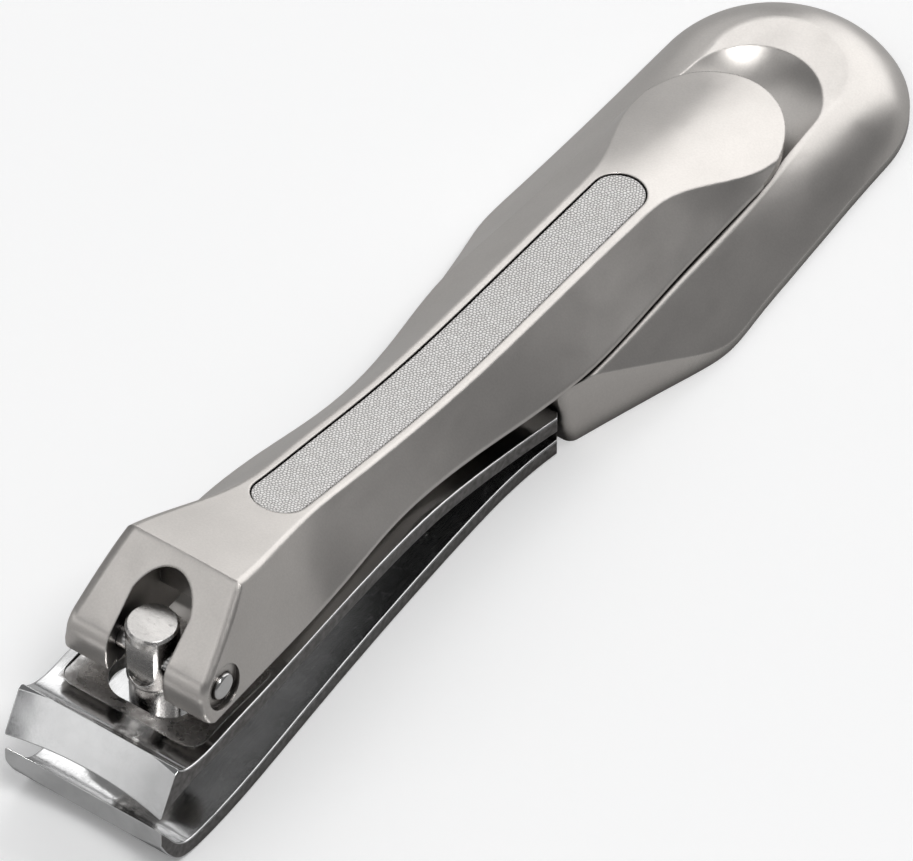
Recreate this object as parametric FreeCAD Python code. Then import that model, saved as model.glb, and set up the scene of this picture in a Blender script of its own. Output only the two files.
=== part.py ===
"""Nail clipper with a swivelling cast lever, two leaf blades and a cast rear body.

All lengths are in millimetres. While the pieces are built, y is the distance back from the
cutting edges; place() then moves the clipper so that its origin is the centre of its base.
x runs across the jaws and z is up. The lever is drawn folded flat over the rear body.
"""
import math
import os
import FreeCAD
import Part
from FreeCAD import Vector

# Whole clipper
LENGTH = 99.2
BLADE_THICKNESS = 1.45

# Jaws and blades
JAW_HALF_WIDTH = 7.0
UPPER_EDGE_Z = 7.2
LOWER_EDGE_Z = 5.75
UPPER_EDGE_HOLLOW = 0.6
LOWER_EDGE_HOLLOW = 0.9
BLADE_END_Y = 50.9
TANG_HALF_WIDTH = 4.5
TANG_FLOOR_Z = 1.0
TANG_JOINT_Z = TANG_FLOOR_Z + BLADE_THICKNESS
TANG_JOINT_Y = 55.0
UPPER_TANG_END_Y = 62.0
LOWER_TANG_END_Y = 74.0
COIN_DEPTH = 0.25
COIN_HALF_WIDTH = 6.2
COIN_FRONT_Y = 5.3
EDGE_BREAK = 0.18

# Fulcrum post and its cross pin
POST_Y = 8.8
POST_RADIUS = 2.0
POST_TOP_Z = 15.9
SHAFT_RADIUS = 1.85
SHAFT_TOP_Z = 10.3
FLAT_HALF_WIDTH = 1.3
FLAT_DEPTH = 0.4
NECK_RADIUS = 1.45
FOOT_RADIUS = 2.9
OPENING_RADIUS = 2.3
OPENING_X = 1.3
PIN_Z = 13.1
PIN_RADIUS = 1.1
PIN_HALF_LENGTH = 6.45
RUNNING_GAP = 0.05

# Lever
EAR_FRONT_Y = 6.55
EAR_BOTTOM_Z = 10.8
EAR_BREAK_Z = 14.1
TOE_RADIUS = 0.9
KNEE_RADIUS = 2.2
CORNER_RADIUS = 0.7
BROW_RADIUS = 0.5
HEAD_LEVELS = 26
LAND_HEIGHT = 0.35
TOP_SLOPE = 0.39
LEVER_TOP_Y = 12.9
LEVER_TOP_Z = 19.65
SLOT_HALF_WIDTH = 2.55
SLOT_ARC_Z = 17.0
SLOT_TOP_Z = 18.8
SLOT_END_Y = 13.2
SPOTFACE_X = 6.05
SPOTFACE_RADIUS = 1.8
LEVER_END_Y = 85.6
TAIL_START_Y = 77.5
TAIL_HALF_WIDTH = 6.45
LEVER_WALL = 1.5
LEVER_ROOF = 1.7

# Inlay in the top of the lever
INLAY_FRONT_Y = 22.3
INLAY_REAR_Y = 69.6
INLAY_HALF_WIDTH = 2.08
INLAY_GROOVE = 0.12
INLAY_SUNK = 0.08
INLAY_THICKNESS = 0.37
ADHESIVE_THICKNESS = 0.1

# Rear body
BODY_FRONT_Y = 50.7
BODY_FRONT_LEAN = 1.1
NOSE_RADIUS = 0.9
BODY_END_RADIUS = 10.3
BODY_END_CENTRE_Y = LENGTH - BODY_END_RADIUS
BODY_LAND = 0.8
CAVITY_HALF_WIDTH = 5.2
CAVITY_CEILING_Z = 4.9
SCOOP_HALF_WIDTH = 5.35
SCOOP_DEPTH = 1.6
SCOOP_Y = 85.7

# Base cover and fasteners
COVER_THICKNESS = 0.8
COVER_INSET = 1.4
COVER_FRONT_Y = 55.3
COVER_GAP = 0.05
SCREW_POSITIONS = [(-7.4, 67.0), (7.4, 67.0), (0.0, 93.8)]
SCREW_RADIUS = 0.75
SCREW_HEAD_RADIUS = 1.45
SCREW_TOP_Z = 2.6
RIVET_Y = 59.0
RIVET_X = 2.4
RIVET_RADIUS = 1.1
RIVET_HEAD_RADIUS = 1.9

# Lever stations: y, top half width, top z, top crown, bottom half width, bottom z
LEVER_STATIONS = [
    (4.0, 5.2, 23.0, 0.02, 6.62, 10.80),
    (8.5, 5.10, 21.30, 0.02, 6.66, 10.82),
    (12.9, 5.00, 19.65, 0.02, 6.70, 10.85),
    (18.5, 3.88, 17.40, 0.02, 6.78, 10.95),
    (24.0, 2.85, 15.40, 0.02, 6.62, 10.98),
    (30.0, 2.78, 13.98, 0.02, 6.05, 10.40),
    (36.0, 2.78, 12.65, 0.02, 5.65, 9.00),
    (42.0, 2.80, 11.55, 0.02, 5.80, 7.65),
    (48.0, 2.82, 10.86, 0.02, 6.50, 6.80),
    (54.0, 2.82, 10.42, 0.02, 7.15, 6.52),
    (60.0, 2.82, 10.02, 0.02, 7.04, 6.20),
    (66.0, 2.85, 9.55, 0.05, 6.77, 5.92),
    (70.0, 3.20, 9.05, 0.20, 6.70, 5.75),
    (74.0, 4.70, 7.85, 0.75, 6.63, 5.50),
    (78.0, 6.00, 6.50, 1.30, 6.55, 5.22),
    (82.0, 6.40, 5.75, 1.20, 6.50, 5.02),
    (87.5, 6.40, 5.35, 0.60, 6.50, 4.90),
]

# Rear body stations: y, bottom half width, rim half width, rim z, bulge, rim rounding
BODY_STATIONS = [
    (49.0, 11.40, 7.25, 6.36, 0.02, 0.5),
    (54.0, 11.40, 7.45, 6.18, 0.02, 0.5),
    (58.0, 11.40, 7.42, 5.98, 0.02, 0.5),
    (66.0, 11.28, 7.18, 5.62, 0.05, 0.6),
    (74.0, 10.86, 6.95, 5.20, 0.14, 0.8),
    (82.0, 10.52, 6.25, 4.76, 0.36, 1.3),
    (BODY_END_CENTRE_Y, BODY_END_RADIUS, 5.90, 4.42, 0.62, 1.8),
]


def box(x0, x1, y0, y1, z0, z1):
    return Part.makeBox(x1 - x0, y1 - y0, z1 - z0, Vector(x0, y0, z0))


def post_cylinder(radius, z0, z1, x=0.0, y=POST_Y):
    return Part.makeCylinder(radius, z1 - z0, Vector(x, y, z0))


def cross_cylinder(radius, x0, x1, y, z):
    return Part.makeCylinder(radius, x1 - x0, Vector(x0, y, z), Vector(1, 0, 0))


def smooth(points):
    """One smooth edge through the given points."""
    curve = Part.BSplineCurve()
    curve.interpolate([Vector(*p) for p in points])
    return curve.toShape()


def chain(points):
    """Straight edges joining the given points."""
    return [Part.makeLine(Vector(*a), Vector(*b)) for a, b in zip(points, points[1:])]


def prism(edges, direction):
    wire = Part.Wire(Part.__sortEdges__(edges))
    return Part.Face(wire).extrude(Vector(*direction))


def mirrored_plan(right_points, front, back, z0, z1):
    """Prism with a smooth outline on both sides, closed by a straight front and back edge."""
    left_points = [(-x, y, z) for x, y, z in right_points]
    edges = [smooth(right_points), smooth(left_points)]
    edges += chain([left_points[0]] + front + [right_points[0]])
    edges += chain([right_points[-1]] + back + [left_points[-1]])
    return prism(edges, (0, 0, z1 - z0))


def one_solid(shape):
    solids = sorted(shape.Solids, key=lambda s: s.Volume)
    return solids[-1].removeSplitter()


# ---------------------------------------------------------------- blades

def blade_plan():
    """Waisted plan of both leaves, full width at the jaws and rounded at the rear shoulders."""
    side = [(JAW_HALF_WIDTH, 5.0, -2), (6.98, 10.0, -2), (6.68, 16.0, -2), (6.25, 24.0, -2),
            (5.95, 32.0, -2), (5.80, 40.0, -2), (5.88, 45.0, -2), (6.50, BLADE_END_Y - 0.6, -2)]
    front = [(-JAW_HALF_WIDTH, -1.0, -2), (JAW_HALF_WIDTH, -1.0, -2)]
    left_front = [front[0]]
    right_front = [front[1]]
    back = [(6.1, BLADE_END_Y, -2), (TANG_HALF_WIDTH, BLADE_END_Y, -2),
            (TANG_HALF_WIDTH, LOWER_TANG_END_Y, -2), (-TANG_HALF_WIDTH, LOWER_TANG_END_Y, -2),
            (-TANG_HALF_WIDTH, BLADE_END_Y, -2), (-6.1, BLADE_END_Y, -2)]
    return mirrored_plan(side, left_front + right_front, back, -2, 14)


def eased(blade):
    """Breaks the long side edges of a leaf."""
    long_edges = [e for e in blade.Edges if e.Length > 20 and e.BoundBox.XLength < 3]
    return blade.makeFillet(EDGE_BREAK, long_edges)


def grind(edge_y, hollow, low, high):
    """Tool that grinds the hollow front of a jaw; low and high are (y, z) on its front face."""
    radius = (JAW_HALF_WIDTH ** 2 + hollow ** 2) / (2 * hollow)
    axis_y = edge_y + hollow - radius
    slope = (high[0] - low[0]) / (high[1] - low[1])

    def face_y(z):
        return low[0] + hollow + slope * (z - low[1])

    z0, z1 = -3.0, 14.0
    profile = Part.makePolygon([Vector(0, face_y(z0) - 8, z0), Vector(0, face_y(z0), z0),
                                Vector(0, face_y(z1), z1), Vector(0, face_y(z0) - 8, z1),
                                Vector(0, face_y(z0) - 8, z0)])
    wedge = Part.Face(profile)
    wedge.rotate(Vector(0, axis_y, 0), Vector(0, 0, 1), -40)
    return wedge.revolve(Vector(0, axis_y, 0), Vector(0, 0, 1), 80)


def upper_blade():
    z_top = TANG_JOINT_Z + BLADE_THICKNESS
    top = [(2.35, 10.62), (3.1, 9.85), (4.4, 9.30), (8.6, 9.14), (12.5, 8.93), (18.0, 8.48),
           (24.0, 8.08), (30.0, 7.62), (36.0, 6.84), (41.3, 5.60), (46.0, 4.48),
           (50.4, z_top + 0.02), (TANG_JOINT_Y - 1, z_top)]
    bottom = [(0.0, UPPER_EDGE_Z), (1.6, 7.56), (4.2, 7.84), (8.6, 7.69), (12.5, 7.48),
              (18.0, 7.03), (24.0, 6.63), (30.0, 6.17), (36.0, 5.39), (41.3, 4.15),
              (46.0, 3.03), (50.4, TANG_JOINT_Z + 0.02), (TANG_JOINT_Y - 1, TANG_JOINT_Z)]
    across = JAW_HALF_WIDTH + 1
    upper = [(-across, y, z) for y, z in top]
    lower = [(-across, y, z) for y, z in bottom]
    edges = [smooth(upper), smooth(lower)]
    edges += chain([lower[0], (-across, -1.0, UPPER_EDGE_Z), (-across, -1.0, 10.45),
                    (-across, 1.9, 10.45), upper[0]])
    edges += chain([upper[-1], (-across, UPPER_TANG_END_Y, z_top),
                    (-across, UPPER_TANG_END_Y, TANG_JOINT_Z), lower[-1]])
    blade = prism(edges, (2 * across, 0, 0))
    blade = blade.common(blade_plan())
    blade = blade.cut(grind(0.0, UPPER_EDGE_HOLLOW, (0.0, UPPER_EDGE_Z), (1.85, 10.45)))
    blade = blade.cut(post_opening())
    blade = blade.cut(coined_recess())
    for x in (-RIVET_X, RIVET_X):
        blade = blade.cut(post_cylinder(RIVET_RADIUS + 0.12, 1, 6, x, RIVET_Y))
    return eased(one_solid(blade))


def post_opening():
    """Oblong opening in the upper leaf, wider across the jaws than along them."""
    opening = box(-OPENING_X, OPENING_X, POST_Y - OPENING_RADIUS, POST_Y + OPENING_RADIUS, 5, 12)
    for x in (-OPENING_X, OPENING_X):
        opening = opening.fuse(post_cylinder(OPENING_RADIUS, 5, 12, x))
    return opening


def coined_recess():
    """Shallow stamped flat around the post hole, with rounded corners."""
    floor_z = 9.14 - COIN_DEPTH
    pad = box(-COIN_HALF_WIDTH, COIN_HALF_WIDTH, COIN_FRONT_Y, 15.5, floor_z, floor_z + 3)
    corners = [e for e in pad.Edges if abs(e.Vertexes[0].Z - e.Vertexes[1].Z) > 1]
    pad = pad.makeFillet(1.4, corners)
    pad.rotate(Vector(0, 8.6, floor_z), Vector(1, 0, 0), -1.6)
    return pad


def lower_blade():
    ramp_start = BLADE_END_Y
    top = [(0.0, LOWER_EDGE_Z), (0.9, 4.45), (2.0, 2.75), (3.2, 1.80), (4.8, 1.47),
           (6.5, BLADE_THICKNESS)]
    bottom = [(0.0, 4.15), (0.55, 2.95), (1.25, 1.80), (2.1, 0.86), (3.5, 0.25), (5.4, 0.0)]
    across = JAW_HALF_WIDTH + 1
    upper = [(-across, y, z) for y, z in top]
    lower = [(-across, y, z) for y, z in bottom]
    edges = [smooth(upper), smooth(lower)]
    edges += chain([upper[0], (-across, -1.0, LOWER_EDGE_Z), (-across, -1.0, 4.15), lower[0]])
    edges += chain([upper[-1], (-across, ramp_start, BLADE_THICKNESS),
                    (-across, TANG_JOINT_Y, TANG_JOINT_Z),
                    (-across, LOWER_TANG_END_Y, TANG_JOINT_Z),
                    (-across, LOWER_TANG_END_Y, TANG_FLOOR_Z),
                    (-across, TANG_JOINT_Y, TANG_FLOOR_Z), (-across, ramp_start, 0), lower[-1]])
    blade = prism(edges, (2 * across, 0, 0))
    blade = blade.common(blade_plan())
    blade = blade.cut(grind(0.0, LOWER_EDGE_HOLLOW, (0.0, 4.15), (0.0, LOWER_EDGE_Z)))
    blade = blade.cut(post_cylinder(NECK_RADIUS + RUNNING_GAP, -1, 3))
    seat = Part.makeCone(FOOT_RADIUS + RUNNING_GAP, NECK_RADIUS + RUNNING_GAP, 0.9,
                         Vector(0, POST_Y, 0.1))
    blade = blade.cut(seat)
    blade = blade.cut(post_cylinder(FOOT_RADIUS + RUNNING_GAP, -1, 0.1))
    for x in (-RIVET_X, RIVET_X):
        blade = blade.cut(post_cylinder(RIVET_RADIUS + 0.02, 0.5, 3, x, RIVET_Y))
        blade = blade.cut(Part.makeCone(RIVET_HEAD_RADIUS + 0.02, RIVET_RADIUS + 0.02, 0.6,
                                        Vector(x, RIVET_Y, TANG_FLOOR_Z)))
    return eased(one_solid(blade))


def blade_rivets():
    """Two rivets that hold the tangs of the leaves together."""
    rivets = []
    for x in (-RIVET_X, RIVET_X):
        base = Vector(x, RIVET_Y, TANG_FLOOR_Z)
        head_z = TANG_JOINT_Z + BLADE_THICKNESS + 0.2
        rivet = Part.makeCone(RIVET_HEAD_RADIUS, RIVET_RADIUS, 0.6, base)
        rivet = rivet.fuse(post_cylinder(RIVET_RADIUS, TANG_FLOOR_Z, head_z, x, RIVET_Y))
        rivet = rivet.fuse(post_cylinder(RIVET_HEAD_RADIUS, head_z, head_z + 0.4, x, RIVET_Y))
        rivets.append(rivet.removeSplitter())
    return Part.makeCompound(rivets)


# ---------------------------------------------------------------- post and pin

def fulcrum_post():
    """Post with a countersunk foot, a neck, a shaft and a flatted head drilled for the pin."""
    shaft_z = BLADE_THICKNESS + 0.1
    foot = Part.makeCone(FOOT_RADIUS, NECK_RADIUS, 0.9, Vector(0, POST_Y, 0.1))
    neck = post_cylinder(NECK_RADIUS, 0.9, shaft_z)
    shaft = post_cylinder(SHAFT_RADIUS, shaft_z, SHAFT_TOP_Z)
    shoulder = Part.makeCone(SHAFT_RADIUS, POST_RADIUS, 0.3, Vector(0, POST_Y, SHAFT_TOP_Z))
    head = post_cylinder(POST_RADIUS, SHAFT_TOP_Z + 0.3, POST_TOP_Z)
    rim = max(head.Edges, key=lambda e: e.CenterOfMass.z)
    head = head.makeChamfer(0.18, [rim])
    post = foot.fuse([neck, shaft, shoulder, head]).removeSplitter()
    flat_z = SHAFT_TOP_Z + 0.6 + FLAT_HALF_WIDTH
    flat = box(-FLAT_HALF_WIDTH, FLAT_HALF_WIDTH, POST_Y - 3, POST_Y - POST_RADIUS + FLAT_DEPTH,
               flat_z, POST_TOP_Z - 0.9)
    round_end = Part.makeCylinder(FLAT_HALF_WIDTH, 3 - POST_RADIUS + FLAT_DEPTH,
                                  Vector(0, POST_Y - 3, flat_z), Vector(0, 1, 0))
    bore = cross_cylinder(PIN_RADIUS + RUNNING_GAP, -4, 4, POST_Y, PIN_Z)
    return one_solid(post.cut(flat.fuse(round_end)).cut(bore))


def lever_pin():
    """Cross pin with domed ends."""
    pin = cross_cylinder(PIN_RADIUS, -PIN_HALF_LENGTH, PIN_HALF_LENGTH, POST_Y, PIN_Z)
    return pin.makeFillet(0.3, [e for e in pin.Edges if e.Curve.TypeId == "Part::GeomCircle"])


# ---------------------------------------------------------------- lever

def crest_radius(y):
    """Rounding of the top edges, generous at the head and finer along the grip."""
    return 0.35 + 0.3 * min(max((24.0 - y) / 11.0, 0.0), 1.0)


def round_corner(before, corner, after, radius):
    """Arc that rounds a corner of a section, kept short of the ends of its sides."""
    first, second = before - corner, after - corner
    half_angle = first.getAngle(second) / 2
    reach = min(radius / math.tan(half_angle), 0.42 * first.Length, 0.42 * second.Length)
    first.normalize()
    second.normalize()
    towards = first + second
    towards.normalize()
    radius = reach * math.tan(half_angle)
    middle = corner + towards * (radius / math.sin(half_angle) - radius)
    return corner + first * reach, middle, corner + second * reach


def lever_section(station):
    """Section of the lever: narrow lands, leaning sides, rounded edges and a crowned top."""
    y, top_x, top_z, crown, low_x, low_z = station
    inner = Vector(low_x - 1.2, y, low_z)
    sole = Vector(low_x, y, low_z)
    land = Vector(low_x, y, low_z + LAND_HEIGHT)
    crest = Vector(top_x, y, top_z)
    lean = 2 * math.atan(crown / top_x)
    inward = Vector(-math.cos(lean), 0, math.sin(lean))
    corners = [round_corner(inner, sole, land, 0.15),
               round_corner(sole, land, crest, 0.3),
               round_corner(land, crest, crest + inward * top_x, crest_radius(y))]
    path = [point for corner in corners for point in corner]
    shoulder = path[-1]
    apex = Vector(0, y, shoulder.z + shoulder.x * math.tan(lean / 2))
    right = [Part.Arc(*corner).toShape() for corner in corners]
    right += [Part.makeLine(path[2], path[3]), Part.makeLine(path[5], path[6])]
    left = [edge.mirror(Vector(0, y, 0), Vector(1, 0, 0)) for edge in right]
    across = Part.Arc(shoulder, apex, Vector(-shoulder.x, y, shoulder.z)).toShape()
    base = Part.makeLine(Vector(-path[0].x, y, low_z), path[0])
    return Part.Wire(Part.__sortEdges__(right + left + [across, base]))


def lever_block():
    """Outside of the lever before it is trimmed at the front and tail."""
    return Part.makeLoft([lever_section(s) for s in LEVER_STATIONS], True, False)


def lever_hollow():
    """Open space under the lever, one wall thickness inside its sides and roof."""
    sections = []
    for y, top_x, top_z, _, low_x, low_z in LEVER_STATIONS:
        if not SLOT_END_Y + 2 < y < 75:
            continue
        roof_z = top_z - LEVER_ROOF
        outer = top_x + (low_x - top_x) * LEVER_ROOF / (top_z - low_z)
        inner_top = max(outer - LEVER_WALL, 1.0)
        inner_low = low_x - LEVER_WALL
        corners = [(inner_low, y, low_z - 2), (inner_low, y, low_z + 0.3),
                   (inner_top, y, roof_z), (-inner_top, y, roof_z),
                   (-inner_low, y, low_z + 0.3), (-inner_low, y, low_z - 2)]
        sections.append(Part.makePolygon([Vector(*c) for c in corners + corners[:1]]))
    return Part.makeLoft(sections, True, True)


def side_half_width(y, z):
    """Half width of the leaning sides of the lever at a height, between its sections."""
    for near, far in zip(LEVER_STATIONS, LEVER_STATIONS[1:]):
        if near[0] <= y <= far[0]:
            share = (y - near[0]) / (far[0] - near[0])
            top_x, top_z, _, low_x, low_z = (a + (b - a) * share
                                             for a, b in zip(near[1:], far[1:]))
            land_z = low_z + LAND_HEIGHT
            rise = max(z - land_z, 0) / (top_z - land_z)
            return low_x + (top_x - low_x) * rise
    return LEVER_STATIONS[-1][4]


def head_profile():
    """Front of the lever seen from the side: toe, shin, knee, slope and brow, from the bottom."""
    sole = Vector(0, EAR_FRONT_Y + 3, EAR_BOTTOM_Z)
    toe = Vector(0, EAR_FRONT_Y, EAR_BOTTOM_Z)
    knee = Vector(0, EAR_FRONT_Y, EAR_BREAK_Z)
    brow = Vector(0, LEVER_TOP_Y, LEVER_TOP_Z)
    ridge = brow + Vector(0, 3, -3 * TOP_SLOPE)
    bends = [round_corner(sole, toe, knee, TOE_RADIUS),
             round_corner(toe, knee, brow, KNEE_RADIUS),
             round_corner(knee, brow, ridge, BROW_RADIUS)]
    edges = [Part.Arc(*bend).toShape() for bend in bends]
    edges += chain([bends[0][2], bends[1][0]]) + chain([bends[1][2], bends[2][0]])
    return Part.Wire(Part.__sortEdges__(edges)).discretize(HEAD_LEVELS)


def head_envelope():
    """Room that the head fills: its front with rounded upright corners, open to the rear."""
    sections = []
    levels = sorted(head_profile(), key=lambda p: p.z)
    low, high = levels[0], levels[-1]
    for point in [Vector(0, low.y, low.z - 2)] + levels[1:-1] + [Vector(0, high.y, high.z + 2)]:
        y, z = point.y, point.z
        half = side_half_width(y, min(z, high.z)) + 0.01
        rear_y = 30.0
        rear_x = half + (rear_y - y) * 0.05
        corner = round_corner(Vector(0, y, z), Vector(half, y, z), Vector(rear_x, rear_y, z),
                              CORNER_RADIUS)
        right = [Part.Arc(*corner).toShape()]
        right += chain([corner[2], (rear_x, rear_y, z)])
        left = [edge.mirror(Vector(0, y, z), Vector(1, 0, 0)) for edge in right]
        across = chain([corner[0], (-corner[0].x, y, z)])
        rear = chain([(rear_x, rear_y, z), (-rear_x, rear_y, z)])
        sections.append(Part.Wire(Part.__sortEdges__(right + across + left + rear)))
    return Part.makeLoft(sections, True, False)


def behind_head():
    """Room that the lever fills from just behind the rounded front of the head."""
    start = CORNER_RADIUS + 0.5
    shin_y, brow_y = EAR_FRONT_Y + start, LEVER_TOP_Y + start
    outline = [(-9, shin_y, 2), (-9, shin_y, EAR_BREAK_Z), (-9, brow_y, LEVER_TOP_Z),
               (-9, brow_y, 26), (-9, 90, 26), (-9, 90, 2), (-9, shin_y, 2)]
    return prism(chain(outline), (18, 0, 0))


def tail_trim():
    """Everything outside the rounded plan of the tail."""
    half = 9.0
    reach = LEVER_END_Y - TAIL_START_Y
    outside = box(-half, half, TAIL_START_Y, LEVER_END_Y + 6, 0, 14)
    keep = Part.Ellipse(Vector(0, TAIL_START_Y + reach, 0), Vector(TAIL_HALF_WIDTH, TAIL_START_Y, 0),
                        Vector(0, TAIL_START_Y, 0)).toShape()
    disc = Part.Face(Part.Wire(keep)).extrude(Vector(0, 0, 14))
    return outside.cut(disc)


def post_slot():
    """Slot between the ears, arched at the top, in which the post head swings."""
    low_z = 6.0
    right = (SLOT_HALF_WIDTH, 3, SLOT_ARC_Z)
    left = (-SLOT_HALF_WIDTH, 3, SLOT_ARC_Z)
    crown = Vector(0, 3, SLOT_TOP_Z)
    edges = [Part.Arc(Vector(*right), crown, Vector(*left)).toShape()]
    edges += chain([left, (-SLOT_HALF_WIDTH, 3, low_z), (SLOT_HALF_WIDTH, 3, low_z), right])
    slot = prism(edges, (0, SLOT_END_Y - 3, 0))
    passage = box(-SLOT_HALF_WIDTH, SLOT_HALF_WIDTH, SLOT_END_Y - 1, 19.0, low_z, 14.6)
    return slot.fuse(passage)


def pill(half_width, front_y, rear_y):
    """Upright prism with rounded ends, standing through the top of the lever."""
    r = half_width
    a, b = front_y + r, rear_y - r
    edges = chain([(r, a, 2), (r, b, 2)]) + chain([(-r, a, 2), (-r, b, 2)])
    edges.append(Part.Arc(Vector(-r, a, 2), Vector(0, front_y, 2), Vector(r, a, 2)).toShape())
    edges.append(Part.Arc(Vector(-r, b, 2), Vector(0, rear_y, 2), Vector(r, b, 2)).toShape())
    return prism(edges, (0, 0, 22))


def lowered(shape, depth):
    moved = shape.copy()
    moved.translate(Vector(0, 0, -depth))
    return moved


def lever():
    block = lever_block()
    pocket_depth = INLAY_SUNK + INLAY_THICKNESS + ADHESIVE_THICKNESS
    pocket = pill(INLAY_HALF_WIDTH + INLAY_GROOVE, INLAY_FRONT_Y - INLAY_GROOVE,
                  INLAY_REAR_Y + INLAY_GROOVE).cut(lowered(block, pocket_depth))
    pocket = pocket.common(box(-9, 9, 0, 90, 8, 24))
    solid = block.common(head_envelope().fuse(behind_head()))
    solid = solid.cut(tail_trim())
    solid = solid.cut(pocket)
    solid = solid.cut(post_slot())
    solid = solid.cut(lever_hollow())
    solid = solid.cut(cross_cylinder(PIN_RADIUS + 0.01, -9, 9, POST_Y, PIN_Z))
    for x0, x1 in ((-9, -SPOTFACE_X), (SPOTFACE_X, 9)):
        solid = solid.cut(cross_cylinder(SPOTFACE_RADIUS, x0, x1, POST_Y, PIN_Z))
    return one_solid(solid)


def inlay_layer(sunk, thickness):
    """Slice of the lever top, between two depths, inside the inlay outline."""
    block = lever_block()
    slab = pill(INLAY_HALF_WIDTH, INLAY_FRONT_Y, INLAY_REAR_Y).common(lowered(block, sunk))
    return one_solid(slab.cut(lowered(block, sunk + thickness)))


def lever_inlay():
    return inlay_layer(INLAY_SUNK, INLAY_THICKNESS)


def inlay_adhesive():
    return inlay_layer(INLAY_SUNK + INLAY_THICKNESS, ADHESIVE_THICKNESS)


# ---------------------------------------------------------------- rear body

def body_outline(inset, front_y, z0, z1):
    """Plan of the rear body: flared shoulders, slight taper, round end."""
    half_widths = [(6.3, BODY_FRONT_Y), (6.75, 52.0), (7.25, 53.6), (8.45, 57.3), (9.55, 60.6),
                   (10.45, 63.2), (11.15, 66.0), (11.05, 70.0), (10.7, 77.5), (10.45, 83.0),
                   (BODY_END_RADIUS, BODY_END_CENTRE_Y)]
    right = [(x - inset, y, z0) for x, y in half_widths]
    left = [(-x, y, z) for x, y, z in right]
    rear = Vector(0, LENGTH - inset, z0)
    arc = Part.Arc(Vector(*right[-1]), rear, Vector(*left[-1])).toShape()
    edges = [smooth(right), smooth(left), arc] + chain([left[0], right[0]])
    plate = prism(edges, (0, 0, z1 - z0))
    return plate.cut(box(-15, 15, 40, front_y, z0 - 1, z1 + 1))


def body_side(low_x, rim_x, rim_z, bulge, crest, y):
    """Edges of one side from the base up: land, sloping side and rounded rim."""
    foot = Vector(low_x, y, BODY_LAND)
    lean = 0.8
    for _ in range(8):
        shoulder = Vector(rim_x, y, rim_z - crest * (1 - math.cos(lean)))
        chord = shoulder - foot
        lean = math.atan2(chord.z, -chord.x) - 2 * math.atan(2 * bulge / chord.Length)
    middle = (foot + shoulder) * 0.5 + Vector(chord.z, 0, -chord.x) * (bulge / chord.Length)
    side = Part.Arc(foot, middle, shoulder).toShape()
    half = lean / 2
    turn = Vector(math.sin(half) - math.sin(lean), 0, math.cos(half) - math.cos(lean)) * crest
    rim = shoulder + Vector(-math.sin(lean), 0, 1 - math.cos(lean)) * crest
    edges = [Part.makeLine(Vector(low_x, y, 0), foot), side,
             Part.Arc(shoulder, shoulder + turn, rim).toShape()]
    return edges, rim


def body_section(station):
    y, low_x = station[0], station[1]
    right, rim = body_side(*station[1:], y)
    left = [edge.mirror(Vector(0, y, 0), Vector(1, 0, 0)) for edge in right]
    top = Part.makeLine(rim, Vector(-rim.x, y, rim.z))
    base = Part.makeLine(Vector(-low_x, y, 0), Vector(low_x, y, 0))
    return Part.Wire(Part.__sortEdges__(right + [top] + left + [base]))


def body_end():
    """Round rear end, turned from the last section."""
    y, low_x = BODY_STATIONS[-1][:2]
    edges, rim = body_side(*BODY_STATIONS[-1][1:], y)
    edges += chain([(rim.x, y, rim.z), (0, y, rim.z), (0, y, 0), (low_x, y, 0)])
    half = Part.Face(Part.Wire(Part.__sortEdges__(edges)))
    return half.revolve(Vector(0, y, 0), Vector(0, 0, 1), 180)


def scoop():
    """Finger scoop behind the tail of the lever, a trough with a round end."""
    radius = (SCOOP_HALF_WIDTH ** 2 + SCOOP_DEPTH ** 2) / (2 * SCOOP_DEPTH)
    centre_z = 4.45 - SCOOP_DEPTH + radius
    trough = Part.makeCylinder(radius, 7, Vector(0, SCOOP_Y - 7, centre_z), Vector(0, 1, 0))
    ball = Part.makeSphere(radius, Vector(0, SCOOP_Y, centre_z))
    front_ball = Part.makeSphere(radius, Vector(0, SCOOP_Y - 7, centre_z))
    return trough.fuse([ball, front_ball])


def front_lean():
    """Wedge ahead of the front face of the body, which leans forward towards its top."""
    low_y = BODY_FRONT_Y + BODY_FRONT_LEAN
    edges = chain([(-12, low_y, 0), (-12, BODY_FRONT_Y, 6.5), (-12, 45, 6.5), (-12, 45, -1),
                   (-12, low_y, -1), (-12, low_y, 0)])
    return prism(edges, (24, 0, 0))


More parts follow.
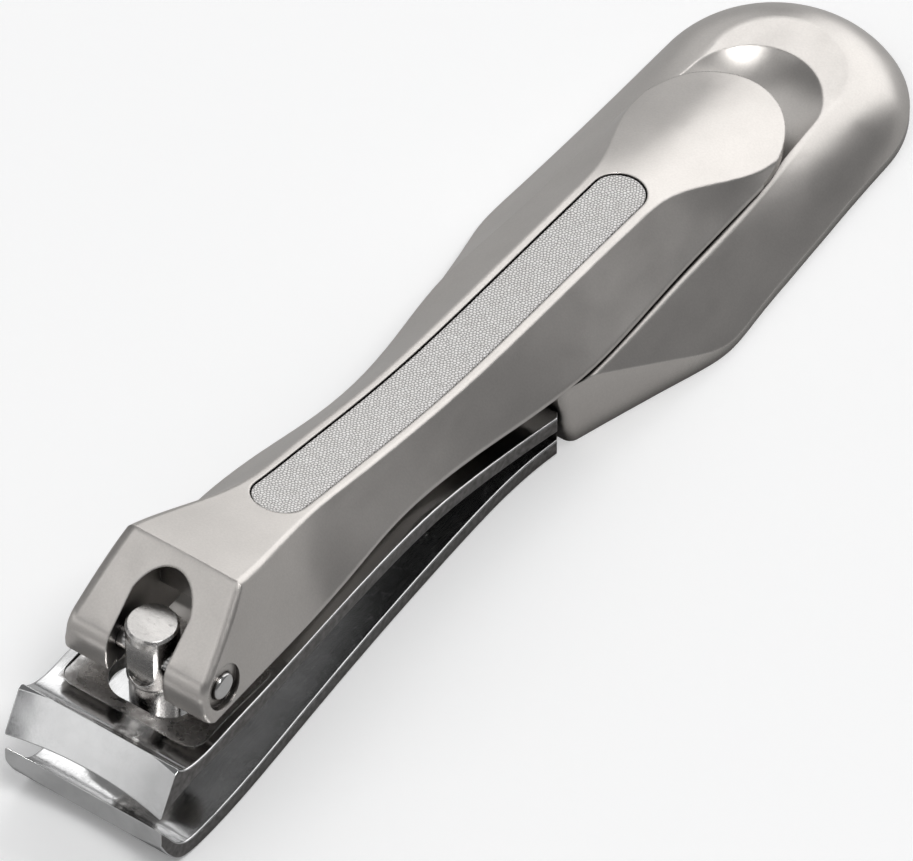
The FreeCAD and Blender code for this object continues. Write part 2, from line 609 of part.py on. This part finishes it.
def rear_body():
    loft = Part.makeLoft([body_section(s) for s in BODY_STATIONS], True, False)
    body = loft.fuse(body_end())
    body = body.common(body_outline(0, BODY_FRONT_Y, -1, 12))
    body = body.cut(front_lean())
    nose = [e for e in body.Edges
            if e.CenterOfMass.y < BODY_FRONT_Y + 1 and abs(e.CenterOfMass.x) > 5]
    body = body.makeFillet(NOSE_RADIUS, nose)
    body = body.cut(scoop())
    body = body.cut(body_outline(COVER_INSET - COVER_GAP, COVER_FRONT_Y - COVER_GAP, -1,
                                 COVER_THICKNESS))
    cavity = box(-CAVITY_HALF_WIDTH, CAVITY_HALF_WIDTH, 53.0, 76.0, COVER_THICKNESS - 0.01,
                 CAVITY_CEILING_Z)
    corners = [e for e in cavity.Edges if abs(e.Vertexes[0].Z - e.Vertexes[1].Z) > 1]
    cavity = cavity.makeFillet(1.2, corners)
    mouth = box(-TANG_HALF_WIDTH - 0.35, TANG_HALF_WIDTH + 0.35, 49, COVER_FRONT_Y, -1, 4.4)
    body = body.cut(cavity).cut(mouth)
    for x in (-2.6, 2.6):
        body = body.fuse(box(x - 1.2, x + 1.2, 66.0, 72.0, TANG_JOINT_Z, CAVITY_CEILING_Z + 0.1))
    for x, y in SCREW_POSITIONS:
        body = body.cut(post_cylinder(SCREW_RADIUS + 0.02, 0, SCREW_TOP_Z + 0.2, x, y))
    return one_solid(body)


def base_cover():
    """Bottom plate with a pad under the tang and countersunk screw holes."""
    plate = body_outline(COVER_INSET, COVER_FRONT_Y, 0, COVER_THICKNESS)
    plate = plate.fuse(box(-3.8, 3.8, 65.0, 73.0, COVER_THICKNESS - 0.1, TANG_FLOOR_Z))
    for x, y in SCREW_POSITIONS:
        plate = plate.cut(post_cylinder(SCREW_RADIUS + 0.05, -1, 2, x, y))
        plate = plate.cut(Part.makeCone(SCREW_HEAD_RADIUS + 0.05, SCREW_RADIUS + 0.05, 0.6,
                                        Vector(x, y, 0.04)))
        plate = plate.cut(post_cylinder(SCREW_HEAD_RADIUS + 0.05, -1, 0.04, x, y))
    return one_solid(plate)


def cover_screws():
    """Three flat-head screws that hold the base cover."""
    screws = []
    for x, y in SCREW_POSITIONS:
        screw = Part.makeCone(SCREW_HEAD_RADIUS, SCREW_RADIUS, 0.6, Vector(x, y, 0.04))
        screw = screw.fuse(post_cylinder(SCREW_RADIUS, 0.05, SCREW_TOP_Z, x, y))
        for a, b in ((0.95, 0.16), (0.16, 0.95)):
            screw = screw.cut(box(x - a, x + a, y - b, y + b, -1, 0.4))
        screws.append(screw.removeSplitter())
    return Part.makeCompound(screws)


def place(shape):
    """Move the origin from the cutting edges to the centre of the base."""
    moved = shape.copy()
    moved.translate(Vector(0, -LENGTH / 2, 0))
    return moved


PIECES = {
    "lever": lever,
    "lever_inlay": lever_inlay,
    "inlay_adhesive": inlay_adhesive,
    "lever_pin": lever_pin,
    "fulcrum_post": fulcrum_post,
    "upper_blade": upper_blade,
    "lower_blade": lower_blade,
    "blade_rivets": blade_rivets,
    "rear_body": rear_body,
    "base_cover": base_cover,
    "cover_screws": cover_screws,
}

os.makedirs("parts", exist_ok=True)
for name, build in PIECES.items():
    piece = place(build())
    piece.exportStep("parts/" + name + ".step")
    print(name, len(piece.Solids), round(piece.Volume, 1), piece.isValid())
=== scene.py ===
"""Looks of the nail clipper: materials, pebbled inlay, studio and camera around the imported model.

Lengths are in metres. +Y runs back from the jaws, +Z is up and the base rests on z = 0.
"""
import math
import random

import bmesh
import bpy
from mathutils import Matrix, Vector
from mathutils.bvhtree import BVHTree
from mathutils.kdtree import KDTree


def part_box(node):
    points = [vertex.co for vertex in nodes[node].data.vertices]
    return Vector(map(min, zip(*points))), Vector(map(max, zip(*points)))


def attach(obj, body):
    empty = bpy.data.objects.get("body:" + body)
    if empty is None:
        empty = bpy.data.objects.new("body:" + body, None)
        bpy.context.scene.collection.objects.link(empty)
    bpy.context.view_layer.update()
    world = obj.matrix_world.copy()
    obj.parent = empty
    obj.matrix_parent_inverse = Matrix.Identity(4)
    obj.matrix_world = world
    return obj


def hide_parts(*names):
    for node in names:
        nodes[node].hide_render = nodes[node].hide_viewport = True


MM = 0.001

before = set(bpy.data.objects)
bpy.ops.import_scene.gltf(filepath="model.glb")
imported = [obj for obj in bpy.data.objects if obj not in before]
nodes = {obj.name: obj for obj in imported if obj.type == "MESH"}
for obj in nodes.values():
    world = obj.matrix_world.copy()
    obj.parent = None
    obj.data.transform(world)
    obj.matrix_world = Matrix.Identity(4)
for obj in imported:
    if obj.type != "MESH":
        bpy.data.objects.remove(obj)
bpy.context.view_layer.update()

# ---------------------------------------------------------------- camera
CAMERA_AZIMUTH = math.radians(35.36)
CAMERA_ELEVATION = math.radians(48.45)
CAMERA_DISTANCE = 0.8
CAMERA_TARGET = Vector((0.0, -4.6 * MM, 4.0 * MM))
CAMERA_LENS = 424.5
CAMERA_SHIFT = (0.0130, -0.0065)
CAMERA_SENSOR = 36.0
CAMERA_CLIP = (0.01, 10.0)


def direction(azimuth, elevation):
    """Unit vector from the object towards a viewer at that azimuth and elevation."""
    flat = math.cos(elevation)
    return Vector((math.sin(azimuth) * flat, -math.cos(azimuth) * flat, math.sin(elevation)))


def add_camera():
    """Long-lens camera looking at the clipper from above its right front."""
    data = bpy.data.cameras.new("camera")
    data.lens = CAMERA_LENS
    data.sensor_width = CAMERA_SENSOR
    data.shift_x, data.shift_y = CAMERA_SHIFT
    data.clip_start, data.clip_end = CAMERA_CLIP
    camera = bpy.data.objects.new("camera", data)
    bpy.context.scene.collection.objects.link(camera)
    back = direction(CAMERA_AZIMUTH, CAMERA_ELEVATION)
    camera.location = CAMERA_TARGET + back * CAMERA_DISTANCE
    camera.rotation_mode = "QUATERNION"
    camera.rotation_quaternion = (-back).to_track_quat("-Z", "Y")
    bpy.context.scene.camera = camera


# ---------------------------------------------------------------- material helpers
PROBE_SAMPLES = 6

# From a full effect to none: cosine across an edge, open sky in a gap
EDGE_DOTS = (0.86, 0.995)
GAP_LIGHT = (0.38, 0.86)

# From no effect to a full one: sideways part of a face's normal
SIDE_LEAN = (0.80, 0.93)


def start_material(name, colour, metallic, roughness):
    """New material with those uniform values, its node tree and its shader."""
    material = bpy.data.materials.new(name)
    material.use_nodes = True
    tree = material.node_tree
    shader = tree.nodes["Principled BSDF"]
    shader.inputs["Base Color"].default_value = (*colour, 1.0)
    shader.inputs["Metallic"].default_value = metallic
    shader.inputs["Roughness"].default_value = roughness
    return material, tree, shader


def scaled_place(tree, stretch=(1, 1, 1)):
    """Object coordinates in millimetres, stretched along the axes."""
    place = tree.nodes.new("ShaderNodeTexCoord")
    mapping = tree.nodes.new("ShaderNodeMapping")
    mapping.inputs["Scale"].default_value = [s / MM for s in stretch]
    tree.links.new(place.outputs["Object"], mapping.inputs["Vector"])
    return mapping.outputs["Vector"]


def noise_of(tree, scale, detail=2.0, stretch=(1, 1, 1), distortion=0.0):
    """Noise value; scale is in features per millimetre."""
    noise = tree.nodes.new("ShaderNodeTexNoise")
    noise.inputs["Scale"].default_value = scale
    noise.inputs["Detail"].default_value = detail
    noise.inputs["Distortion"].default_value = distortion
    tree.links.new(scaled_place(tree, stretch), noise.inputs["Vector"])
    return noise.outputs["Fac"]


def spread(tree, value, low, high, from_low=0.3, from_high=0.7):
    """Value stretched from one range to another and clamped; the usual range is that of noise."""
    ramp = tree.nodes.new("ShaderNodeMapRange")
    ramp.inputs["From Min"].default_value = from_low
    ramp.inputs["From Max"].default_value = from_high
    ramp.inputs["To Min"].default_value = low
    ramp.inputs["To Max"].default_value = high
    tree.links.new(value, ramp.inputs["Value"])
    return ramp.outputs["Result"]


def blend_colours(tree, value, first, second):
    """Colour between two; each is a plain colour or a socket."""
    mix = tree.nodes.new("ShaderNodeMix")
    mix.data_type = "RGBA"
    for label, colour in (("A", first), ("B", second)):
        socket = next(s for s in mix.inputs if s.name == label and s.type == "RGBA")
        if isinstance(colour, bpy.types.NodeSocket):
            tree.links.new(colour, socket)
        else:
            socket.default_value = (*colour, 1.0)
    tree.links.new(value, mix.inputs["Factor"])
    return next(s for s in mix.outputs if s.type == "RGBA")


def blend_values(tree, value, first, second):
    """Number between two; each is a plain number or a socket."""
    mix = tree.nodes.new("ShaderNodeMix")
    for label, number in (("A", first), ("B", second)):
        socket = next(s for s in mix.inputs if s.name == label and s.type == "VALUE")
        if isinstance(number, bpy.types.NodeSocket):
            tree.links.new(number, socket)
        else:
            socket.default_value = number
    tree.links.new(value, mix.inputs["Factor"])
    return next(s for s in mix.outputs if s.type == "VALUE")


def maths(tree, operation, first, second=0.0):
    """Result of a sum on numbers or sockets."""
    node = tree.nodes.new("ShaderNodeMath")
    node.operation = operation
    for socket, number in zip(node.inputs, (first, second)):
        if isinstance(number, bpy.types.NodeSocket):
            tree.links.new(number, socket)
        else:
            socket.default_value = number
    return node.outputs["Value"]


def softened(tree, radius):
    """Surface normal eased across edges, and how close a point is to a sharp edge."""
    bevel = tree.nodes.new("ShaderNodeBevel")
    bevel.samples = PROBE_SAMPLES
    bevel.inputs["Radius"].default_value = radius * MM
    geometry = tree.nodes.new("ShaderNodeNewGeometry")
    dot = tree.nodes.new("ShaderNodeVectorMath")
    dot.operation = "DOT_PRODUCT"
    tree.links.new(bevel.outputs["Normal"], dot.inputs[0])
    tree.links.new(geometry.outputs["Normal"], dot.inputs[1])
    edge = spread(tree, dot.outputs["Value"], 1.0, 0.0, *EDGE_DOTS)
    return bevel.outputs["Normal"], edge


def painted_gap_shade(tree, reach):
    """How much painted shade a spot gets: 1 deep in a gap or a corner, 0 on open faces; reach in
    mm.
    """
    occlusion = tree.nodes.new("ShaderNodeAmbientOcclusion")
    occlusion.samples = PROBE_SAMPLES
    occlusion.inputs["Distance"].default_value = reach * MM
    return spread(tree, occlusion.outputs["AO"], 1.0, 0.0, *GAP_LIGHT)


def side_faces(tree):
    """1 on the upright faces that look left or right, 0 elsewhere."""
    place = tree.nodes.new("ShaderNodeTexCoord")
    split = tree.nodes.new("ShaderNodeSeparateXYZ")
    tree.links.new(place.outputs["Normal"], split.inputs["Vector"])
    return spread(tree, maths(tree, "ABSOLUTE", split.outputs["X"]), 0.0, 1.0, *SIDE_LEAN)


def bump(tree, shader, value, depth, normal=None):
    """Relief of that depth in mm on the shader, laid over a normal if one is given."""
    node = tree.nodes.new("ShaderNodeBump")
    node.inputs["Strength"].default_value = 1.0
    node.inputs["Distance"].default_value = depth * MM
    tree.links.new(value, node.inputs["Height"])
    if normal is not None:
        tree.links.new(normal, node.inputs["Normal"])
    tree.links.new(node.outputs["Normal"], shader.inputs["Normal"])


def near(tree, axis, centre, half, soft):
    """1 inside a slab of space across an axis, fading to 0 over the soft distance; in mm."""
    split = tree.nodes.new("ShaderNodeSeparateXYZ")
    tree.links.new(scaled_place(tree), split.inputs["Vector"])
    away = maths(tree, "ABSOLUTE", maths(tree, "SUBTRACT", split.outputs[axis], centre))
    return spread(tree, away, 1.0, 0.0, half - soft, half)


# ---------------------------------------------------------------- materials
# Near-black painted shade, blended into gaps and corners by occlusion
GAP_SHADE_TONE = (0.035, 0.03, 0.028)
# Near-white painted highlight laid along the sharp edges of the polished steel
EDGE_HIGHLIGHT_TONE = (0.93, 0.93, 0.92)
NICKEL = (0.70, 0.668, 0.636)
COVER_NICKEL = (0.60, 0.58, 0.56)
BLADE_STEEL = (0.80, 0.80, 0.80)
POST_STEEL = (0.66, 0.64, 0.62)
PIN_STEEL = (0.80, 0.79, 0.78)
# Dark painted shade for the upright side faces of the leaves, standing in for a dark reflection
SIDE_SHADE_TONES = (0.10, 0.095, 0.09), (0.22, 0.21, 0.205)
SIDE_ROUGHNESS = 0.36
PAD_TONES = (0.42, 0.40, 0.39), (0.74, 0.73, 0.72)
INLAY_WHITE = (0.92, 0.90, 0.88)
CELL_TONES = (0.88, 0.86, 0.84), (0.96, 0.945, 0.93)
GROOVE_TONE = (0.13, 0.12, 0.115)
FILM_BROWN = (0.06, 0.055, 0.05)
ADHESIVE_TONES = (0.04, 0.035, 0.03), (0.09, 0.08, 0.07)

# Widths and depths in mm, for edges, the reach of the painted gap shade and relief
SATIN_EDGE = 0.22
STEEL_EDGE = 0.1
SATIN_GAP = 2.2
STEEL_GAP = 1.2
GRAIN_DEPTH = 0.0012
LINE_DEPTH = 0.0006
PIT_DEPTH = 0.012
LINE_SHARE = 0.05
BLADE_LINES = (9, 0.6, 9)

# Stamped pad of the upper leaf around the post, in mm
PAD_HALF_WIDTH = 6.2
PAD_FRONT_Y = -44.3
PAD_LENGTH = 10.2
PAD_MIDDLE_Z = 8.69
PAD_HALF_HEIGHT = 0.5
PAD_FADE = 0.3


def satin_casting(name, colour, roughness):
    """Bead-blasted and plated casting: fine grain, faint clouding, brighter rubbed edges and
    painted shade in its gaps and corners.
    """
    material, tree, shader = start_material(name, colour, metallic=1.0, roughness=roughness)
    normal, edge = softened(tree, SATIN_EDGE)
    cloud = spread(tree, noise_of(tree, 0.22, detail=4.0), 0.0, 1.0)
    tone = blend_colours(tree, cloud, [c * 0.93 for c in colour], colour)
    rubbed = [min(c * 1.18, 0.95) for c in colour]
    wear = maths(tree, "MULTIPLY", edge, spread(tree, noise_of(tree, 1.6, detail=4.0), 0.25, 0.9))
    tone = blend_colours(tree, wear, tone, rubbed)
    speckle = spread(tree, noise_of(tree, 6.0, detail=2.0), 0.0, 0.16)
    tone = blend_colours(tree, speckle, tone, [c * 0.55 for c in colour])
    # Painted shade: the colour darkens to near-black deep in gaps and corners
    gap_shade = painted_gap_shade(tree, SATIN_GAP)
    tree.links.new(blend_colours(tree, gap_shade, tone, GAP_SHADE_TONE), shader.inputs["Base Color"])
    grain = noise_of(tree, 14.0, detail=3.0)
    rough = spread(tree, grain, roughness - 0.03, roughness + 0.04)
    smears = spread(tree, noise_of(tree, 0.5, detail=3.0, stretch=(1, 0.4, 1)), -0.02, 0.03)
    rough = maths(tree, "ADD", rough, smears)
    tree.links.new(blend_values(tree, wear, rough, roughness * 0.72), shader.inputs["Roughness"])
    bump(tree, shader, grain, GRAIN_DEPTH, normal)
    return material


def polished_steel(name, colour, roughness, stretch, painted_dark_sides=False):
    """Polished steel with fine lines left by the wheel, faint stains, eased edges carrying a
    painted highlight, painted shade in its gaps and, when painted_dark_sides is set, painted shade
    on its upright side faces.
    """
    material, tree, shader = start_material(name, colour, metallic=1.0, roughness=roughness)
    normal, edge = softened(tree, STEEL_EDGE)
    stain = spread(tree, noise_of(tree, 0.45, detail=5.0, distortion=0.6), 0.0, 1.0, 0.35, 0.62)
    tone = blend_colours(tree, stain, [c * 0.86 for c in colour], colour)
    lines = noise_of(tree, 1.0, detail=3.0, stretch=stretch)
    rough = spread(tree, lines, roughness * 0.75, roughness * 1.35)
    spots = spread(tree, noise_of(tree, 2.4, detail=3.0), 0.0, 0.10, 0.58, 0.75)
    rough = maths(tree, "ADD", rough, spots)
    # Painted shade on the upright side faces, with a duller roughness there
    if painted_dark_sides:
        tone, rough = painted_side_shade(tree, tone, rough)
    # Painted highlight: near-white colour along sharp edges
    tone = blend_colours(tree, edge, tone, EDGE_HIGHLIGHT_TONE)
    # Painted shade: near-black blended into gaps and corners
    tone = blend_colours(tree, painted_gap_shade(tree, STEEL_GAP), tone, GAP_SHADE_TONE)
    tree.links.new(tone, shader.inputs["Base Color"])
    tree.links.new(rough, shader.inputs["Roughness"])
    bump(tree, shader, lines, LINE_DEPTH, normal)
    return material


def painted_side_shade(tree, tone, rough):
    """Painted shade: dark colour on the upright side faces of a leaf that look left or right,
    standing in for a dark reflection, with a duller roughness there.
    """
    sides = side_faces(tree)
    scale = spread(tree, noise_of(tree, 2.2, detail=5.0), 0.0, 1.0)
    dark = blend_colours(tree, scale, *SIDE_SHADE_TONES)
    tone = blend_colours(tree, sides, tone, dark)
    return tone, blend_values(tree, sides, rough, SIDE_ROUGHNESS)


def upper_blade_steel(name, colour):
    """Polished leaf whose stamped pad around the post is duller, pitted and stained, with a painted
    highlight on its edges and painted shade on its side faces and in its gaps.
    """
    material, tree, shader = start_material(name, colour, metallic=1.0, roughness=0.12)
    normal, edge = softened(tree, STEEL_EDGE)
    pad_middle_y = PAD_FRONT_Y + PAD_LENGTH / 2
    pad = maths(tree, "MULTIPLY", near(tree, "X", 0.0, PAD_HALF_WIDTH, PAD_FADE),
                near(tree, "Y", pad_middle_y, PAD_LENGTH / 2, PAD_FADE))
    height = near(tree, "Z", PAD_MIDDLE_Z, PAD_HALF_HEIGHT, PAD_HALF_HEIGHT / 10)
    pad = maths(tree, "MULTIPLY", pad, height)
    stain = spread(tree, noise_of(tree, 1.3, detail=5.0, distortion=0.3), 0.0, 1.0, 0.34, 0.62)
    dull = blend_colours(tree, stain, *PAD_TONES)
    cloud = spread(tree, noise_of(tree, 0.4, detail=4.0), 0.0, 1.0)
    bright = blend_colours(tree, cloud, [c * 0.9 for c in colour], colour)
    tone = blend_colours(tree, pad, bright, dull)
    lines = noise_of(tree, 1.0, detail=3.0, stretch=BLADE_LINES)
    rough = spread(tree, lines, 0.09, 0.17)
    pad_rough = spread(tree, stain, 0.42, 0.22, 0.0, 1.0)
    # Painted shade on the upright side faces, with a duller roughness there
    tone, rough = painted_side_shade(tree, tone, blend_values(tree, pad, rough, pad_rough))
    # Painted highlight: near-white colour along sharp edges
    tone = blend_colours(tree, edge, tone, EDGE_HIGHLIGHT_TONE)
    # Painted shade: near-black blended into gaps and corners
    tone = blend_colours(tree, painted_gap_shade(tree, STEEL_GAP), tone, GAP_SHADE_TONE)
    tree.links.new(tone, shader.inputs["Base Color"])
    tree.links.new(rough, shader.inputs["Roughness"])
    pits = maths(tree, "MULTIPLY", pad, noise_of(tree, 3.0, detail=4.0))
    relief = maths(tree, "ADD", maths(tree, "MULTIPLY", lines, LINE_SHARE), pits)
    bump(tree, shader, relief, PIT_DEPTH, normal)
    return material


def inlay_skin_material():
    """Off-white cells whose grooves are filled with dark grime."""
    material, tree, shader = start_material("pebbled_inlay", INLAY_WHITE,
                                            metallic=0.0, roughness=0.45)
    groove = tree.nodes.new("ShaderNodeAttribute")
    groove.attribute_name = "groove"
    tint = spread(tree, noise_of(tree, 1.3, detail=2.0), 0.0, 1.0)
    cell = blend_colours(tree, tint, *CELL_TONES)
    tone = blend_colours(tree, groove.outputs["Fac"], cell, GROOVE_TONE)
    tree.links.new(tone, shader.inputs["Base Color"])
    tree.links.new(spread(tree, groove.outputs["Fac"], 0.34, 0.8, 0.0, 1.0),
                   shader.inputs["Roughness"])
    bump(tree, shader, noise_of(tree, 22.0, detail=2.0), GRAIN_DEPTH)
    return material


def adhesive_material():
    """Dark mottled film."""
    material, tree, shader = start_material("bonding_film", FILM_BROWN, metallic=0.0, roughness=0.5)
    mottle = spread(tree, noise_of(tree, 3.0, detail=3.0), 0.0, 1.0)
    tree.links.new(blend_colours(tree, mottle, *ADHESIVE_TONES), shader.inputs["Base Color"])
    tree.links.new(spread(tree, mottle, 0.4, 0.65, 0.0, 1.0), shader.inputs["Roughness"])
    return material


def put_on(material, *names):
    """Dress those nodes in the material."""
    for name in names:
        for place in nodes[name].material_slots:
            place.material = material


def dress_nodes():
    """Give every node of the frame its material."""
    put_on(satin_casting("cast_satin_nickel", NICKEL, roughness=0.33), "lever", "rear_body")
    put_on(satin_casting("cover_satin_nickel", COVER_NICKEL, roughness=0.4), "base_cover")
    put_on(upper_blade_steel("upper_blade_polish", BLADE_STEEL), "upper_blade")
    lower_steel = polished_steel("lower_blade_polish", BLADE_STEEL, roughness=0.14,
                                 stretch=BLADE_LINES, painted_dark_sides=True)
    put_on(lower_steel, "lower_blade")
    turned = polished_steel("turned_steel", POST_STEEL, roughness=0.22, stretch=(2, 14, 16))
    put_on(turned, "fulcrum_post", "blade_rivets", "cover_screws")
    pin = polished_steel("pin_steel", PIN_STEEL, roughness=0.14, stretch=(2, 12, 12))
    put_on(pin, "lever_pin")
    put_on(adhesive_material(), "inlay_adhesive")


# ---------------------------------------------------------------- pebbled inlay
CELL = 0.27 * MM
CELL_JITTER = 0.28
GROOVE_WIDTH = 0.055 * MM
GROOVE_DEPTH = 0.04 * MM
GRID = 0.05 * MM
INLAY_INSET = 0.02 * MM
END_CLEARANCE = 0.1 * MM
RIM_WIDTH = 0.12 * MM
RIM_DROP = 0.05 * MM
WALL_HEIGHT = 0.3 * MM
MERGE_DISTANCE = 1e-7
PEBBLE_SEED = 7


def scatter_cells(low, high):
    """Jittered staggered points, one for each pebble."""
    random.seed(PEBBLE_SEED)
    points = []
    row_gap = CELL * math.sqrt(3) / 2
    rows = int((high.y - low.y) / row_gap) + 3
    columns = int((high.x - low.x) / CELL) + 3
    for row in range(rows):
        for column in range(columns):
            x = low.x + (column - 1 + 0.5 * (row % 2)) * CELL
            y = low.y + (row - 1) * row_gap
            x += random.uniform(-CELL_JITTER, CELL_JITTER) * CELL
            y += random.uniform(-CELL_JITTER, CELL_JITTER) * CELL
            points.append(Vector((x, y, 0)))
    return points


def groove_at(tree, spot):
    """How deep in a groove a spot is: 1 on the line between two cells, 0 on a cell."""
    (first, _, _), (second, _, _) = tree.find_n(spot, 2)
    middle = (first + second) / 2
    to_line = abs((spot - middle).dot((second - first).normalized()))
    share = min(to_line / GROOVE_WIDTH, 1.0)
    return (1 - share) ** 2 * (1 + 2 * share)


def pill_distance(spot, low, high):
    """Distance in from the outline of the inlay, a strip with round ends."""
    half = (high.x - low.x) / 2
    middle_x = (high.x + low.x) / 2
    y = min(max(spot.y, low.y + half), high.y - half)
    return half - math.hypot(spot.x - middle_x, spot.y - y)


def cell_finder(low, high):
    """Search tree of the middles of the pebbles."""
    cells = scatter_cells(low, high)
    tree = KDTree(len(cells))
    for index, point in enumerate(cells):
        tree.insert(point, index)
    tree.balance()
    return tree


def crown_heights(low, high, rows):
    """Heights of the plain inlay along its middle line, from front to back."""
    surface = BVHTree.FromObject(nodes["lever_inlay"], bpy.context.evaluated_depsgraph_get())
    heights = []
    for y in rows:
        y = min(max(y, low.y + END_CLEARANCE), high.y - END_CLEARANCE)
        above = Vector((0, y, high.z + MM))
        heights.append(surface.ray_cast(above, Vector((0, 0, -1)))[0].z)
    return heights


def pebbled_lines(mesh, low, high):
    """Lines of points across the strip, sunk in the grooves and rounded off at the rim."""
    layer = mesh.verts.layers.float.new("groove")
    tree = cell_finder(low, high)
    half = (high.x - low.x) / 2 - INLAY_INSET
    front, back = low.y + INLAY_INSET, high.y - INLAY_INSET
    columns = int(2 * half / GRID)
    steps = int((back - front) / GRID)
    rows = [front + (back - front) * step / steps for step in range(steps + 1)]
    lines = []
    for y, crown_z in zip(rows, crown_heights(low, high, rows)):
        past_end = max(front + half - y, y - (back - half), 0)
        reach = math.sqrt(max(half ** 2 - past_end ** 2, 0))
        line = []
        for column in range(columns + 1):
            spot = Vector((reach * (2 * column / columns - 1), y, 0))
            groove = groove_at(tree, spot)
            rim = min(pill_distance(spot, low, high) / RIM_WIDTH, 1.0)
            spot.z = crown_z - GROOVE_DEPTH * groove - RIM_DROP * (1 - rim) ** 2
            vert = mesh.verts.new(spot)
            vert[layer] = groove
            line.append(vert)
        lines.append(line)
    return lines


def close_strip(mesh, lines):
    """Top faces between the lines, upright walls round the rim and a flat underside."""
    for near_line, far_line in zip(lines, lines[1:]):
        for i in range(len(near_line) - 1):
            mesh.faces.new((near_line[i], near_line[i + 1], far_line[i + 1], far_line[i]))
    left = [line[0] for line in lines[1:]]
    right = [line[-1] for line in lines[1:]]
    rim = left[::-1] + lines[0] + right + lines[-1][1:-1][::-1]
    lower = [mesh.verts.new(vert.co - Vector((0, 0, WALL_HEIGHT))) for vert in rim]
    for i, vert in enumerate(rim):
        j = (i + 1) % len(rim)
        mesh.faces.new((rim[j], vert, lower[i], lower[j]))
    mesh.faces.new(lower)
    bmesh.ops.remove_doubles(mesh, verts=mesh.verts, dist=MERGE_DISTANCE)
    bmesh.ops.recalc_face_normals(mesh, faces=mesh.faces)


def add_inlay():
    """Strip with a pebbled top, standing for the plain inlay of the frame."""
    low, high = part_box("lever_inlay")
    mesh = bmesh.new()
    close_strip(mesh, pebbled_lines(mesh, low, high))
    data = bpy.data.meshes.new("pebbled_inlay")
    mesh.to_mesh(data)
    mesh.free()
    for face in data.polygons:
        face.use_smooth = True
    data.materials.append(inlay_skin_material())
    piece = bpy.data.objects.new("pebbled_inlay", data)
    bpy.context.scene.collection.objects.link(piece)
    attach(piece, "lever")
    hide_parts("lever_inlay")


# ---------------------------------------------------------------- studio
FLOOR_REACH = 3.0
FLOOR_SEEN = (0.96, 0.96, 0.96)
FLOOR_REFLECTED = (0.5, 0.5, 0.5)
FLOOR_GLOW = 0.13
SURROUND = (0.97, 0.98, 1.0, 1.0)
SURROUND_STRENGTH = 0.17

# Name, azimuth and elevation in degrees, distance, width and height in metres, radiance
SOFT_BOXES = (
    ("key_back", 180, 32, 1.2, (1.15, 1.5), 1.35),
    ("key_left", 233, 34, 1.2, (0.85, 1.5), 0.5),
    ("front_fill", -22, 44, 1.2, (0.7, 0.7), 0.85),
    ("front_low", -40, 9, 1.2, (1.3, 0.36), 0.75),
    ("camera_side", 62, 66, 1.6, (0.6, 0.6), 9.0),
)


def floor_material():
    """White paper that the camera sees brighter than the metal reflects it."""
    material, tree, shader = start_material("floor_paper", FLOOR_SEEN, metallic=0.0, roughness=0.95)
    to_camera = tree.nodes.new("ShaderNodeLightPath").outputs["Is Camera Ray"]
    tone = blend_colours(tree, to_camera, FLOOR_REFLECTED, FLOOR_SEEN)
    tree.links.new(tone, shader.inputs["Base Color"])
    shader.inputs["Emission Color"].default_value = (1.0, 1.0, 1.0, 1.0)
    tree.links.new(maths(tree, "MULTIPLY", to_camera, FLOOR_GLOW),
                   shader.inputs["Emission Strength"])
    return material


def add_floor():
    """Plain square of floor that the base rests on."""
    mesh = bpy.data.meshes.new("floor")
    signs = ((-1, -1), (1, -1), (1, 1), (-1, 1))
    corners = [(x * FLOOR_REACH, y * FLOOR_REACH, 0) for x, y in signs]
    mesh.from_pydata(corners, [], [(0, 1, 2, 3)])
    mesh.materials.append(floor_material())
    floor = bpy.data.objects.new("floor", mesh)
    bpy.context.scene.collection.objects.link(floor)


def add_light(name, azimuth, elevation, distance, size, radiance):
    """Soft box seen from the object at that azimuth and elevation."""
    data = bpy.data.lights.new(name, "AREA")
    data.shape = "RECTANGLE"
    data.size, data.size_y = size
    data.energy = radiance * math.pi * size[0] * size[1]
    light = bpy.data.objects.new(name, data)
    bpy.context.scene.collection.objects.link(light)
    towards = direction(math.radians(azimuth), math.radians(elevation))
    light.location = towards * distance
    light.rotation_mode = "QUATERNION"
    light.rotation_quaternion = (-towards).to_track_quat("-Z", "Y")


def add_studio():
    """Dim even surroundings and the soft boxes."""
    world = bpy.data.worlds.new("studio")
    world.use_nodes = True
    background = world.node_tree.nodes["Background"]
    background.inputs["Color"].default_value = SURROUND
    background.inputs["Strength"].default_value = SURROUND_STRENGTH
    bpy.context.scene.world = world
    bpy.context.scene.view_settings.view_transform = "Standard"
    for soft_box in SOFT_BOXES:
        add_light(*soft_box)


dress_nodes()
add_inlay()
add_camera()
add_floor()
add_studio()
